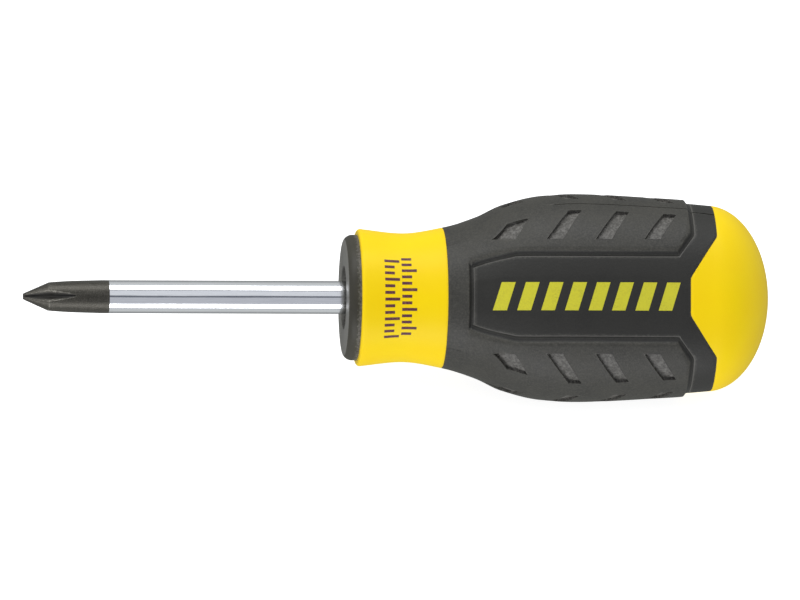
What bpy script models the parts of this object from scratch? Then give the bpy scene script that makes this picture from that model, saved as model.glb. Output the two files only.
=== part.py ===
"""Stubby cross-point screwdriver: a steel blade held in a handle that is moulded in three shots.

The driver lies along +X, with the middle of its blunt tip at the origin and +Z up. An angle round
the axis is measured from -Y towards +Z. The handle's section has three flats, each with a sunk
panel, and three rounded crests between them, each under a raised pad. One panel faces down, so the
handle lies still on a bench.

A body is swept as a chain of rings. A ring is a list of (x, radius, angle), one for each column of
points round the axis, and a ring of no radius closes an end.
"""

from math import asin, cos, pi, radians, sin, sqrt, tan

import bmesh
import bpy
from mathutils import Matrix, Vector

MM = 0.001

# Lengths along the axis
BLADE_LENGTH = 45.0 * MM  # tip to the front of the handle
HANDLE_LENGTH = 59.7 * MM
NOSE_LENGTH = 1.8 * MM  # the black nose that shows in front of the collar
COLLAR_LENGTH = 12.0 * MM
CAP_LENGTH = 8.2 * MM  # behind the crests of the grip
DOME_DEPTH = 8.7 * MM
DOME_POWER = 2.03  # 2 is an ellipse, more is squarer

# Radii of the handle, at the crests and flats alike before the section is lobed
LIP_RADIUS = 9.62 * MM
WAIST_RADIUS = 9.03 * MM
COLLAR_END_RADIUS = 9.85 * MM
FLARE_RADIUS = 11.3 * MM
SHOULDER_RADIUS = 12.9 * MM
FULL_RADIUS = 14.18 * MM
BELLY_RADIUS = 14.45 * MM
HEEL_RADIUS = 13.85 * MM
GRIP_END_RADIUS = 13.4 * MM
LOBE_HEIGHT = 0.63 * MM  # how far the crests rise and the flats sink

# Where those radii are
LIP_ROUND = 0.45 * MM
WAIST_BEHIND_LIP = 6.4 * MM
FLARE_BEHIND_COLLAR = 4.7 * MM
SHOULDER_BEHIND_COLLAR = 8.2 * MM
FULL_BEHIND_COLLAR = 13.8 * MM
BELLY_BEHIND_COLLAR = 18.3 * MM
HEEL_BEFORE_END = 6.5 * MM
LOBE_RISE = 13.0 * MM

# Moulded details of the grip
GRIP_WALL = 1.8 * MM
RECESS = 0.5 * MM  # panels and rim lie this far below the pads
STEP_WIDTH = 0.95 * MM  # run of the sloped step round a panel
PANEL_HALF_WIDTH = 5.5 * MM
PANEL_FRONT_HALF_WIDTH = 3.8 * MM
PANEL_BEHIND_COLLAR = 3.25 * MM
PANEL_FLARE = 6.2 * MM
PANEL_FLARE_POWER = 0.7
PAD_SLANT = 2.4 * MM
LAND_FADE = 4.0 * MM  # length over which a panel's flat middle fades out
RIM_LENGTH = 3.5 * MM
TONGUE_REACH = 3.95 * MM  # how far the cap runs forward under each panel's end
TONGUE_HALF_ANGLE = radians(12.0)
TONGUE_ROOT_ANGLE = radians(40.0)
FULL_SLOTS = 3  # in a row, behind the short one on the flare
SLOT_DEPTH = 0.6 * MM  # at the slot's front wall
SLOT_HEEL_DEPTH = 0.4 * MM  # at its back wall
SLOT_WIDTH = 2.5 * MM
SLOT_CREST_WIDTH = 2.05 * MM
SLOT_LEAN = 3.5 * MM  # how much further back the end at the crest lies, on the first full slot
LAST_SLOT_LEAN = 3.1 * MM
SLOT_BESIDE_PANEL = 2.4 * MM
SLOT_BESIDE_CREST = 1.5 * MM
SHORT_SLOT_WIDTH = 3.1 * MM
SHORT_SLOT_CREST_WIDTH = 3.0 * MM
SHORT_SLOT_LEAN = 2.1 * MM
SHORT_SLOT_BESIDE_CREST = 2.3 * MM
SHORT_SLOT_BEHIND_COLLAR = 6.2 * MM
FIRST_SLOT_BEHIND_COLLAR = 13.4 * MM
LAST_SLOT_BEFORE_RIM = 1.9 * MM
CUTTER_REACH = 2.0 * MM

# Core, the first shot, which holds the blade
CORE_RADIUS = 5.8 * MM
NOSE_RADIUS = 8.8 * MM
NOSE_ROUND = 1.1 * MM
NOSE_RECESS_WIDTH = 2.1 * MM  # round the shank
NOSE_RECESS_DEPTH = 2.0 * MM
CAP_WALL = 10.0 * MM
CORE_END_WALL = 6.0 * MM

# Blade
SHANK_RADIUS = 2.32 * MM
TIP_FLAT_RADIUS = 0.4 * MM
TIP_BLUNT_LENGTH = 0.45 * MM
TIP_BLUNT_RADIUS = 0.65 * MM
TIP_CONE_LENGTH = 3.55 * MM
TIP_TAPER = 0.2 * MM  # how much thinner the bar is where the cone starts
TIP_TAPER_LENGTH = 11.0 * MM
FLUTE_ROOT_RADIUS = 0.25 * MM  # at the tip's end
FLUTE_LENGTH = 8.4 * MM
FLUTE_HALF_ANGLE = radians(46.0)
FLUTE_TURN = radians(32.0)
BLADE_CHAMFER = 0.5 * MM
WING_SPAN = 7.0 * MM
WING_THICKNESS = 1.6 * MM
WING_LENGTH = 6.0 * MM
WING_BEFORE_END = 12.0 * MM

BOND_GAP = 0.3 * MM  # clearance kept between pieces that are moulded onto each other
MERGE = 0.001 * MM

# Places along the axis, from the lengths above
HANDLE_END = BLADE_LENGTH + HANDLE_LENGTH
COLLAR_START = BLADE_LENGTH + NOSE_LENGTH
COLLAR_END = COLLAR_START + COLLAR_LENGTH
GRIP_END = HANDLE_END - CAP_LENGTH
DOME_START = HANDLE_END - DOME_DEPTH
PANEL_START = COLLAR_END + PANEL_BEHIND_COLLAR
PAD_END = GRIP_END - RIM_LENGTH
CORE_END = HANDLE_END - CAP_WALL
BLADE_END = CORE_END - CORE_END_WALL

# Angles round the axis
THIRD = 2 * pi / 3
PANEL_ANGLE = radians(30.0)
CREST = THIRD / 2  # from the middle of a panel

# Fineness of the swept bodies
PANEL_COLUMNS = 4  # columns on the sunk floor, from the middle to one edge
BODY_ROWS = 9
COLLAR_ROWS = 6
DOME_ROWS = 9
ROUND_STEPS = 3
BLADE_SEGMENTS = 32
CORE_SEGMENTS = 40


def smooth(t):
    """Ease from 0 to 1."""
    t = min(max(t, 0.0), 1.0)
    return t * t * (3 - 2 * t)


def blend(start, end, t):
    return start + (end - start) * min(max(t, 0.0), 1.0)


def slopes_of(points):
    """Slope at each point of an outline that never bulges past its points."""
    runs = [(r1 - r0) / (x1 - x0) for (x0, r0), (x1, r1) in zip(points, points[1:])]
    slopes = [runs[0]]
    for before, after in zip(runs, runs[1:]):
        slopes.append(2 * before * after / (before + after) if before * after > 0 else 0.0)
    return slopes + [runs[-1]]


OUTLINE = [
    (COLLAR_START + LIP_ROUND, LIP_RADIUS),
    (COLLAR_START + WAIST_BEHIND_LIP, WAIST_RADIUS),
    (COLLAR_END, COLLAR_END_RADIUS),
    (COLLAR_END + FLARE_BEHIND_COLLAR, FLARE_RADIUS),
    (COLLAR_END + SHOULDER_BEHIND_COLLAR, SHOULDER_RADIUS),
    (COLLAR_END + FULL_BEHIND_COLLAR, FULL_RADIUS),
    (COLLAR_END + BELLY_BEHIND_COLLAR, BELLY_RADIUS),
    (GRIP_END - HEEL_BEFORE_END, HEEL_RADIUS),
    (GRIP_END, GRIP_END_RADIUS),
]
OUTLINE_SLOPES = slopes_of(OUTLINE)


def outline(x):
    """Mean radius of the handle's skin at x, along the pads."""
    x = min(max(x, OUTLINE[0][0]), OUTLINE[-1][0])
    pairs = zip(OUTLINE, OUTLINE[1:], OUTLINE_SLOPES, OUTLINE_SLOPES[1:])
    for (x0, r0), (x1, r1), slope0, slope1 in pairs:
        if x <= x1:
            break
    run = x1 - x0
    t = (x - x0) / run
    lead = run * (slope0 * t * (1 - t) ** 2 - slope1 * t * t * (1 - t))
    return r0 + (r1 - r0) * smooth(t) + lead


def lobe(x, angle):
    """Height of the section's lobes at x and an angle from a panel's middle."""
    rise = smooth((x - COLLAR_END) / LOBE_RISE)
    fall = 1 - smooth((x - PAD_END) / (HANDLE_END - PAD_END))
    return -LOBE_HEIGHT * rise * fall * cos(3 * angle)


def skin(x, angle):
    """Radius of the pads, and of the collar."""
    return outline(x) + lobe(x, angle)


def flat_land(x):
    """Half angle of the flat strip along the middle of a panel, which fades out before the cap."""
    return TONGUE_HALF_ANGLE * (1 - smooth((x - PAD_END) / LAND_FADE + 1))


def sunk(x, angle):
    """Radius of the panels, the rim and the cap, which ends in a dome."""
    land = flat_land(x)
    if abs(angle) < land:
        return (skin(x, land) - RECESS) * cos(land) / cos(angle)
    if x <= DOME_START:
        return skin(x, angle) - RECESS
    share = sqrt(max(1 - ((x - DOME_START) / DOME_DEPTH) ** DOME_POWER, 0.0))
    return (outline(DOME_START) - RECESS) * share + lobe(x, angle) * share


def sleeve(x, angle):
    """Radius of the surface that the grip is moulded on."""
    return skin(x, angle) - GRIP_WALL


def panel_half_width(x):
    flare = (max(x - PANEL_START, 0.0) / PANEL_FLARE) ** PANEL_FLARE_POWER
    return blend(PANEL_FRONT_HALF_WIDTH, PANEL_HALF_WIDTH, flare)


def pad_end(angle):
    """Where a pad drops to the rim: its corner beside a panel is cut back."""
    corner = panel_half_width(PAD_END) / outline(PAD_END)
    return PAD_END - PAD_SLANT * (1 - blend(0, 1, (abs(angle) - corner) / (TONGUE_ROOT_ANGLE - corner)))


def grip_end(angle):
    """Where the grip meets the cap, which runs forward at each panel in a tongue."""
    spread = (abs(angle) - TONGUE_HALF_ANGLE) / (TONGUE_ROOT_ANGLE - TONGUE_HALF_ANGLE)
    return GRIP_END - TONGUE_REACH * (1 - blend(0, 1, spread))


def column_angles(x):
    """Angles of the columns at x, from the middle of a panel to the crest beside it."""
    edge = asin(panel_half_width(x) / skin(x, 0))
    step = asin((panel_half_width(x) + STEP_WIDTH) / skin(x, 0))
    floor = [0.0, TONGUE_HALF_ANGLE / 2, TONGUE_HALF_ANGLE, (TONGUE_HALF_ANGLE + edge) / 2, edge]
    rest = CREST - TONGUE_ROOT_ANGLE
    pad = [step, (step + TONGUE_ROOT_ANGLE) / 2, TONGUE_ROOT_ANGLE]
    return floor + pad + [TONGUE_ROOT_ANGLE + rest / 3, TONGUE_ROOT_ANGLE + rest * 2 / 3, CREST]


def handle_ring(x, radius, floor_radius=None):
    """A ring of the handle. x is a place or a function of the angle from a panel's middle, and
    radius a function of both. floor_radius, where given, is for the columns inside a panel."""
    nominal = x(CREST) if callable(x) else x
    half = column_angles(nominal)
    last = len(half) - 1
    ring = []
    for third in range(3):
        for column in range(-last, last):
            angle = half[abs(column)] * (1 if column >= 0 else -1)
            place = x(angle) if callable(x) else x
            in_panel = abs(column) <= PANEL_COLUMNS
            height = floor_radius if floor_radius and in_panel else radius
            ring.append((place, height(place, angle), PANEL_ANGLE + third * THIRD + angle))
    return ring


def round_ring(x, radius, segments):
    return [(x, radius, 2 * pi * i / segments) for i in range(segments)]


def of_handle(x, radius):
    """A round ring with the handle's own columns."""
    return handle_ring(x, lambda place, angle: radius)


def at_angle(x, radius, angle):
    return Vector((x, -radius * cos(angle), radius * sin(angle)))


def swept(rings):
    """Sweep an edge loop through the rings by extruding it from each to the next."""
    bm = bmesh.new()
    loop = bmesh.ops.create_circle(bm, segments=len(rings[0]), radius=1.0)["verts"]
    for vert, point in zip(loop, rings[0]):
        vert.co = at_angle(*point)
    for ring in rings[1:]:
        edges = [bm.edges.get((loop[i - 1], loop[i])) for i in range(len(loop))]
        grown = bmesh.ops.extrude_edge_only(bm, edges=edges)["geom"]
        new = {item for item in grown if isinstance(item, bmesh.types.BMVert)}
        loop = [next(e.other_vert(old) for e in old.link_edges if e.other_vert(old) in new) for old in loop]
        for vert, point in zip(loop, ring):
            vert.co = at_angle(*point)
    bmesh.ops.remove_doubles(bm, verts=bm.verts, dist=MERGE)
    bmesh.ops.recalc_face_normals(bm, faces=bm.faces)
    return bm


def material(name, colour, roughness, metallic=0.0):
    made = bpy.data.materials.new(name)
    made.use_nodes = True
    shader = made.node_tree.nodes["Principled BSDF"]
    shader.inputs["Base Color"].default_value = (*colour, 1.0)
    shader.inputs["Roughness"].default_value = roughness
    shader.inputs["Metallic"].default_value = metallic
    return made


def add_object(name, bm, finish=None, sharp=30.0):
    mesh = bpy.data.meshes.new(name)
    bm.to_mesh(mesh)
    bm.free()
    obj = bpy.data.objects.new(name, mesh)
    bpy.context.scene.collection.objects.link(obj)
    if finish:
        mesh.materials.append(finish)
        mesh.shade_smooth()
        mesh.set_sharp_from_angle(angle=radians(sharp))
    return obj


def add_cutter(name, bm):
    cutter = add_object(name, bm)
    cutter.hide_render = True
    cutter.display_type = "WIRE"
    return cutter


def boolean(obj, operation, other):
    modifier = obj.modifiers.new(other.name, "BOOLEAN")
    modifier.operation = operation
    modifier.solver = "EXACT"
    modifier.object = other


def add_wings(bm, clearance):
    """Two ears pressed out of the bar, which stop the blade turning in the core."""
    size = (
        WING_LENGTH + 2 * clearance,
        WING_SPAN + 2 * clearance,
        WING_THICKNESS + 2 * clearance,
    )
    middle = Vector((BLADE_END - WING_BEFORE_END, 0, 0))
    bmesh.ops.create_cube(bm, size=1.0, matrix=Matrix.LocRotScale(middle, None, Vector(size)))


def add_flute(bm, angle):
    """A V groove whose root climbs from the tip's end to the taper's surface."""
    climb = (SHANK_RADIUS - FLUTE_ROOT_RADIUS) / FLUTE_LENGTH
    start = -TIP_BLUNT_LENGTH
    height = 2 * SHANK_RADIUS
    half_width = height * tan(FLUTE_HALF_ANGLE)
    root = FLUTE_ROOT_RADIUS + climb * start
    corners = [(root, 0.0), (root + height, half_width), (root + height, -half_width)]
    face = bm.faces.new([bm.verts.new((start, side, up)) for up, side in corners])
    grown = bmesh.ops.extrude_face_region(bm, geom=[face], use_keep_orig=True)["geom"]
    run = FLUTE_LENGTH + 2 * TIP_BLUNT_LENGTH
    moved = [item for item in grown if isinstance(item, bmesh.types.BMVert)]
    bmesh.ops.translate(bm, verts=moved, vec=(run, 0, climb * run))
    turned = [*face.verts, *moved]
    bmesh.ops.rotate(bm, verts=turned, matrix=Matrix.Rotation(pi / 2 - angle, 3, "X"))


def make_blade():
    """Steel bar: cross-point tip, round shank and the wings inside the handle."""
    outline_points = [
        (0, 0),
        (0, TIP_FLAT_RADIUS),
        (TIP_BLUNT_LENGTH, TIP_BLUNT_RADIUS),
        (TIP_CONE_LENGTH, SHANK_RADIUS - TIP_TAPER),
        (TIP_TAPER_LENGTH, SHANK_RADIUS),
        (BLADE_END - BLADE_CHAMFER, SHANK_RADIUS),
        (BLADE_END, SHANK_RADIUS - BLADE_CHAMFER),
        (BLADE_END, 0),
    ]
    bar = swept([round_ring(x, radius, BLADE_SEGMENTS) for x, radius in outline_points])
    blade = add_object("blade", bar, material("blade_chrome", (0.75, 0.75, 0.77), 0.15, 1.0))

    wings = bmesh.new()
    add_wings(wings, 0.0)
    boolean(blade, "UNION", add_cutter("wing_stock", wings))

    flutes = bmesh.new()
    for quarter in range(4):
        add_flute(flutes, FLUTE_TURN + quarter * pi / 2)
    bmesh.ops.recalc_face_normals(flutes, faces=flutes.faces)
    boolean(blade, "DIFFERENCE", add_cutter("flute_cutter", flutes))


def make_core():
    """First shot, black: the nose and the stem that grips the blade."""
    bore = SHANK_RADIUS + BOND_GAP
    recess = SHANK_RADIUS + NOSE_RECESS_WIDTH
    nose_back = COLLAR_START - BOND_GAP
    outline_points = [
        (BLADE_END + BOND_GAP, 0),
        (BLADE_END + BOND_GAP, bore),
        (BLADE_LENGTH + NOSE_RECESS_DEPTH, bore),
        (BLADE_LENGTH + NOSE_RECESS_DEPTH, recess),
        (BLADE_LENGTH, recess),
    ]
    for angle in stations(0.0, pi / 2, ROUND_STEPS):
        x = BLADE_LENGTH + NOSE_ROUND * (1 - cos(angle))
        outline_points.append((x, NOSE_RADIUS - NOSE_ROUND * (1 - sin(angle))))
    outline_points += [
        (BLADE_LENGTH + NOSE_ROUND, NOSE_RADIUS),
        (nose_back, NOSE_RADIUS),
        (nose_back, CORE_RADIUS),
        (CORE_END, CORE_RADIUS),
        (CORE_END, 0),
    ]
    stem = swept([round_ring(x, radius, CORE_SEGMENTS) for x, radius in outline_points])
    core = add_object("core", stem, material("core_black", (0.03, 0.03, 0.03), 0.4))

    pocket = bmesh.new()
    add_wings(pocket, BOND_GAP)
    boolean(core, "DIFFERENCE", add_cutter("wing_pocket", pocket))


def stations(start, end, count):
    """Places from start to end, without end."""
    return [start + (end - start) * i / count for i in range(count)]


def body_rows():
    """Places between the panels' front and the pads' ends where a ring is put."""
    return stations(PANEL_START + STEP_WIDTH, PAD_END - PAD_SLANT - STEP_WIDTH, BODY_ROWS)[1:]


def make_shell():
    """Second shot, yellow: collar, the sleeve under the grip, and the domed cap."""
    bore = CORE_RADIUS + BOND_GAP
    bottom = CORE_END + BOND_GAP
    rings = [of_handle(x, radius) for x, radius in ((bottom, 0), (bottom, bore), (COLLAR_START, bore))]
    for angle in stations(0.0, pi / 2, ROUND_STEPS):
        x = COLLAR_START + LIP_ROUND * (1 - cos(angle))
        rings.append(of_handle(x, LIP_RADIUS - LIP_ROUND * (1 - sin(angle))))
    rings += [handle_ring(x, skin) for x in stations(COLLAR_START + LIP_ROUND, COLLAR_END, COLLAR_ROWS)]
    rings.append(handle_ring(COLLAR_END, skin))

    def under_grip(x, angle):
        return sleeve(x, angle) - BOND_GAP

    rings += [handle_ring(x, under_grip) for x in [COLLAR_END, PANEL_START, *body_rows()]]
    rings += [handle_ring(grip_end, under_grip), handle_ring(grip_end, sunk)]

    cap_round = DOME_START + DOME_DEPTH / 4
    rings.append(handle_ring(lambda angle: (grip_end(angle) + cap_round) / 2, sunk))
    first = asin((cap_round - DOME_START) / DOME_DEPTH)
    for angle in [*stations(first, pi / 2, DOME_ROWS), pi / 2]:
        rings.append(handle_ring(DOME_START + DOME_DEPTH * sin(angle), sunk))
    add_object("shell", swept(rings), material("shell_yellow", (0.90, 0.62, 0.02), 0.35))


def make_grip():
    """Third shot, soft black: pads with slots, sunk panels and a sunk rim."""
    front = COLLAR_END + BOND_GAP
    half_step = STEP_WIDTH / 2

    def back(angle):
        return grip_end(angle) - BOND_GAP

    rings = [
        handle_ring(front, skin),
        handle_ring(PANEL_START - half_step, skin),
        handle_ring(PANEL_START + half_step, skin, sunk),
    ]
    rings += [handle_ring(x, skin, sunk) for x in body_rows()]
    rings += [
        handle_ring(lambda angle: pad_end(angle) - half_step, skin, sunk),
        handle_ring(lambda angle: pad_end(angle) + half_step, sunk),
        handle_ring(back, sunk),
        handle_ring(back, sleeve),
    ]
    rings += [handle_ring(x, sleeve) for x in reversed([front, PANEL_START, *body_rows()])]
    rings.append(rings[0])
    grip = add_object("grip", swept(rings), material("grip_rubber", (0.06, 0.06, 0.06), 0.6))

    slots = bmesh.new()
    for third in range(3):
        for side in (1, -1):
            for corners in slot_outlines():
                add_slot(slots, corners, PANEL_ANGLE + third * THIRD, side)
    bmesh.ops.recalc_face_normals(slots, faces=slots.faces)
    boolean(grip, "DIFFERENCE", add_cutter("slot_cutter", slots))


def slot_outline(place, width, crest_width, lean, beside_crest):
    """Corners of one slot as (x, angle from the panel's middle, depth), front corner first."""
    near = [(place, SLOT_DEPTH), (place + width, SLOT_HEEL_DEPTH)]
    far = [(place + lean + crest_width, SLOT_HEEL_DEPTH), (place + lean, SLOT_DEPTH)]
    corners = []
    for x, depth in near:
        corners.append((x, asin((PANEL_HALF_WIDTH + SLOT_BESIDE_PANEL) / outline(x)), depth))
    for x, depth in far:
        corners.append((x, CREST - asin(beside_crest / outline(x)), depth))
    return corners


def slot_outlines():
    """A row of slots on one side of a panel: a short one on the flare, then the full ones."""
    short = COLLAR_END + SHORT_SLOT_BEHIND_COLLAR
    first = COLLAR_END + FIRST_SLOT_BEHIND_COLLAR
    last = PAD_END - LAST_SLOT_BEFORE_RIM - LAST_SLOT_LEAN - SLOT_CREST_WIDTH
    widths = (SHORT_SLOT_WIDTH, SHORT_SLOT_CREST_WIDTH)
    outlines = [slot_outline(short, *widths, SHORT_SLOT_LEAN, SHORT_SLOT_BESIDE_CREST)]
    for i in range(FULL_SLOTS):
        t = i / (FULL_SLOTS - 1)
        lean = blend(SLOT_LEAN, LAST_SLOT_LEAN, t)
        widths = (SLOT_WIDTH, SLOT_CREST_WIDTH)
        outlines.append(slot_outline(blend(first, last, t), *widths, lean, SLOT_BESIDE_CREST))
    return outlines


def add_slot(bm, corners, panel, side):
    """A slanted block sunk into a pad, with a floor that climbs to the rear."""
    floor = [
        bm.verts.new(at_angle(x, skin(x, angle) - depth, panel + side * angle))
        for x, angle, depth in corners
    ]
    face = bm.faces.new(floor)
    grown = bmesh.ops.extrude_face_region(bm, geom=[face], use_keep_orig=True)["geom"]
    middle = sum(angle for _, angle, _ in corners) / len(corners)
    moved = [item for item in grown if isinstance(item, bmesh.types.BMVert)]
    bmesh.ops.translate(bm, verts=moved, vec=at_angle(0, CUTTER_REACH, panel + side * middle))


def main():
    for obj in list(bpy.data.objects):
        bpy.data.objects.remove(obj)
    make_blade()
    make_core()
    make_shell()
    make_grip()


main()
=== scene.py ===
"""Looks of a stubby cross-point screwdriver: a chromed blade in a handle moulded in three shots.

The driver lies along +X, with the middle of its blunt tip at the origin and +Z up. An angle round
the axis is measured from -Y towards +Z. The handle has three flats, each with a sunk panel, and
three rounded crests between them. Angles that a HandleForm takes are measured from the middle of
the nearest panel instead, so that they run from 0 to 60 degrees, the crest.
"""

import logging
from collections.abc import Callable, Iterable, Sequence
from dataclasses import dataclass
from enum import Enum
from math import asin, cos, pi, radians, sin, sqrt, tan

import bmesh
import bpy
from bmesh.types import BMesh, BMFace, BMVert
from bpy.types import Material, Node, NodeSocket, NodeTree, Object
from mathutils import Matrix, Vector


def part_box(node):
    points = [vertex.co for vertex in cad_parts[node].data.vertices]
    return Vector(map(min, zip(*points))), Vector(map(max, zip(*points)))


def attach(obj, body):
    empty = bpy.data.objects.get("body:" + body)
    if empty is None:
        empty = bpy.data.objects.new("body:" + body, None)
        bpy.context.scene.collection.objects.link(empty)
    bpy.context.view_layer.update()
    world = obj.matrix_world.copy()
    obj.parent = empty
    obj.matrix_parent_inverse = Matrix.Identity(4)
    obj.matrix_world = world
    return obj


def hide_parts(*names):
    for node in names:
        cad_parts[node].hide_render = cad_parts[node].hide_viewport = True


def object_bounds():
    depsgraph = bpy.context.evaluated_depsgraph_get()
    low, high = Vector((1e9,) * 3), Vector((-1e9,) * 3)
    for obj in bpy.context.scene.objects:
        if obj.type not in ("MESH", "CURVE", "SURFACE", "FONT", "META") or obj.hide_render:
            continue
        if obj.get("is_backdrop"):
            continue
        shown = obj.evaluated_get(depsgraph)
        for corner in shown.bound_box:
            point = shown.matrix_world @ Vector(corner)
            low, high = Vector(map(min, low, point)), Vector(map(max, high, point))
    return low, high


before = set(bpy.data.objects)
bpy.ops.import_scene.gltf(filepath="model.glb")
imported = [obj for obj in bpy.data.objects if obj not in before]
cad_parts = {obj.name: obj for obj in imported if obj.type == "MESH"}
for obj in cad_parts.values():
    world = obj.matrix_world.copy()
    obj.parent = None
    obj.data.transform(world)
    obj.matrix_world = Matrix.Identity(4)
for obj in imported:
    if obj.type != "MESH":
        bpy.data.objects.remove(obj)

logging.basicConfig(level=logging.INFO, format="%(name)s: %(message)s")
log = logging.getLogger("screwdriver")

BODY = "root"
MM = 0.001
MERGE = 0.001 * MM
THIRD = 2 * pi / 3
CREST = THIRD / 2
PANEL_ANGLE = radians(30.0)

Colour = tuple[float, float, float]
Ring = list[tuple[float, float, float]]
Station = Callable[["Column"], float]
Place = Callable[[float, float], tuple[float, float]]


class Slot(Enum):
    """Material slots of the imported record."""

    CHROME = "blade_chrome"
    OXIDE = "tip_oxide"
    NOSE = "core_black"
    YELLOW = "shell_yellow"
    RUBBER = "grip_rubber"
    SIZE_MARK = "size_mark"
    PANEL_MARK = "panel_mark"


# Shaping helpers


def blend(start: float, end: float, t: float) -> float:
    """Go from start to end as t goes from 0 to 1, and no further."""
    return start + (end - start) * min(max(t, 0.0), 1.0)


def smooth(t: float) -> float:
    """Ease from 0 to 1."""
    t = min(max(t, 0.0), 1.0)
    return t * t * (3 - 2 * t)


def soft_ramp(t: float, round_share: float) -> float:
    """Ramp from 0 to 1 whose two corners are rounded.

    Args:
        t: Place along the ramp, which rises between 0 and 1.
        round_share: Length of each rounding, as a share of the ramp.

    Returns:
        The height, from 0 to 1.
    """
    if t > 0.5:
        return 1 - soft_ramp(1 - t, round_share)
    if t < -round_share:
        return 0.0
    if t < round_share:
        return (t + round_share) ** 2 / (4 * round_share)
    return t


def stations(start: float, end: float, count: int) -> list[float]:
    """Places from start to end, both included, in count steps."""
    return [start + (end - start) * i / count for i in range(count + 1)]


def at_angle(x: float, radius: float, angle: float) -> Vector:
    """Point at a place along the axis, a radius and an angle round the axis."""
    return Vector((x, -radius * cos(angle), radius * sin(angle)))


def swept(rings: Sequence[Ring], *layers: str) -> tuple[BMesh, list[list[BMVert]]]:
    """Sweep an edge loop through rings by extruding it from each one to the next.

    Args:
        rings: Each a list of (x, radius, angle), all of one length.
        layers: Names of the values that its points will hold.

    Returns:
        The mesh, and its points ring by ring.
    """
    bm = bmesh.new()
    for layer in layers:
        bm.verts.layers.float.new(layer)
    loop = bmesh.ops.create_circle(bm, segments=len(rings[0]), radius=1.0)["verts"]
    loops = [loop]
    for ring in rings[1:]:
        edges = [bm.edges.get((loop[i - 1], loop[i])) for i in range(len(loop))]
        grown = bmesh.ops.extrude_edge_only(bm, edges=edges)["geom"]
        new = {item for item in grown if isinstance(item, BMVert)}
        loop = [next(e.other_vert(old) for e in old.link_edges if e.other_vert(old) in new) for old in loop]
        loops.append(loop)
    for loop, ring in zip(loops, rings):
        for vert, point in zip(loop, ring):
            vert.co = at_angle(*point)
    return bm, loops


def turned(profile: Iterable[tuple[float, float]], steps: int) -> BMesh:
    """Turn an open profile round the axis into a closed body.

    Args:
        profile: Points as (x, radius), which start and end on the axis.
        steps: How many faces go round.

    Returns:
        The closed mesh.
    """
    bm = bmesh.new()
    verts = [bm.verts.new((x, -radius, 0)) for x, radius in profile]
    edges = [bm.edges.new(pair) for pair in zip(verts, verts[1:])]
    bmesh.ops.spin(
        bm,
        geom=[*verts, *edges],
        cent=(0, 0, 0),
        axis=(1, 0, 0),
        angle=2 * pi,
        steps=steps,
        use_merge=True,
    )
    close(bm)
    return bm


def close(bm: BMesh) -> None:
    """Merge the seam and the poles of a body and turn its faces outwards."""
    bmesh.ops.remove_doubles(bm, verts=bm.verts, dist=MERGE)
    bmesh.ops.dissolve_degenerate(bm, edges=bm.edges, dist=MERGE)
    bmesh.ops.recalc_face_normals(bm, faces=bm.faces)


def arc(
    x: float, radius: float, size: float, start: float, end: float, steps: int
) -> list[tuple[float, float]]:
    """Points of a rounding on a profile.

    Args:
        x: Place of the arc's middle along the axis.
        radius: How far its middle is from the axis.
        size: The arc's own radius.
        start: Its first angle, from +X towards outwards.
        end: Its last angle.
        steps: How many lengths it is made of.

    Returns:
        Points as (x, radius), from start to end.
    """
    return [(x + size * cos(turn), radius + size * sin(turn)) for turn in stations(start, end, steps)]


def make_object(name: str, bm: BMesh, sharp: float = 180.0) -> Object:
    """Put a mesh in the scene with smooth shading.

    Args:
        name: Name of the object.
        bm: The mesh, which is used up.
        sharp: Edges that turn more than this many degrees are shaded sharp.

    Returns:
        The new object, at the origin.
    """
    mesh = bpy.data.meshes.new(name)
    bm.to_mesh(mesh)
    bm.free()
    mesh.shade_smooth()
    mesh.set_sharp_from_angle(angle=radians(sharp))
    obj = bpy.data.objects.new(name, mesh)
    bpy.context.scene.collection.objects.link(obj)
    return obj


def cut_away(obj: Object, cutter: BMesh) -> None:
    """Cut a shape out of an object for good.

    Args:
        obj: The object that is cut.
        cutter: Closed mesh of the shape, which is used up.
    """
    tool = make_object("cutter", cutter)
    modifier = obj.modifiers.new("cut", "BOOLEAN")
    modifier.operation = "DIFFERENCE"
    modifier.solver = "EXACT"
    modifier.object = tool
    graph = bpy.context.evaluated_depsgraph_get()
    cut = bpy.data.meshes.new_from_object(obj.evaluated_get(graph))
    obj.modifiers.clear()
    obj.data = cut
    bpy.data.objects.remove(tool)


def deliver(obj: Object, finish: Material) -> Object:
    """Dress a piece, put it on the body and report it.

    Args:
        obj: The piece.
        finish: Its material.

    Returns:
        The same piece.
    """
    obj.data.materials.clear()
    obj.data.materials.append(finish)
    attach(obj, BODY)
    log.info("%s: %d faces, finish %s", obj.name, len(obj.data.polygons), finish.name)
    return obj


# Form of the handle


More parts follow.
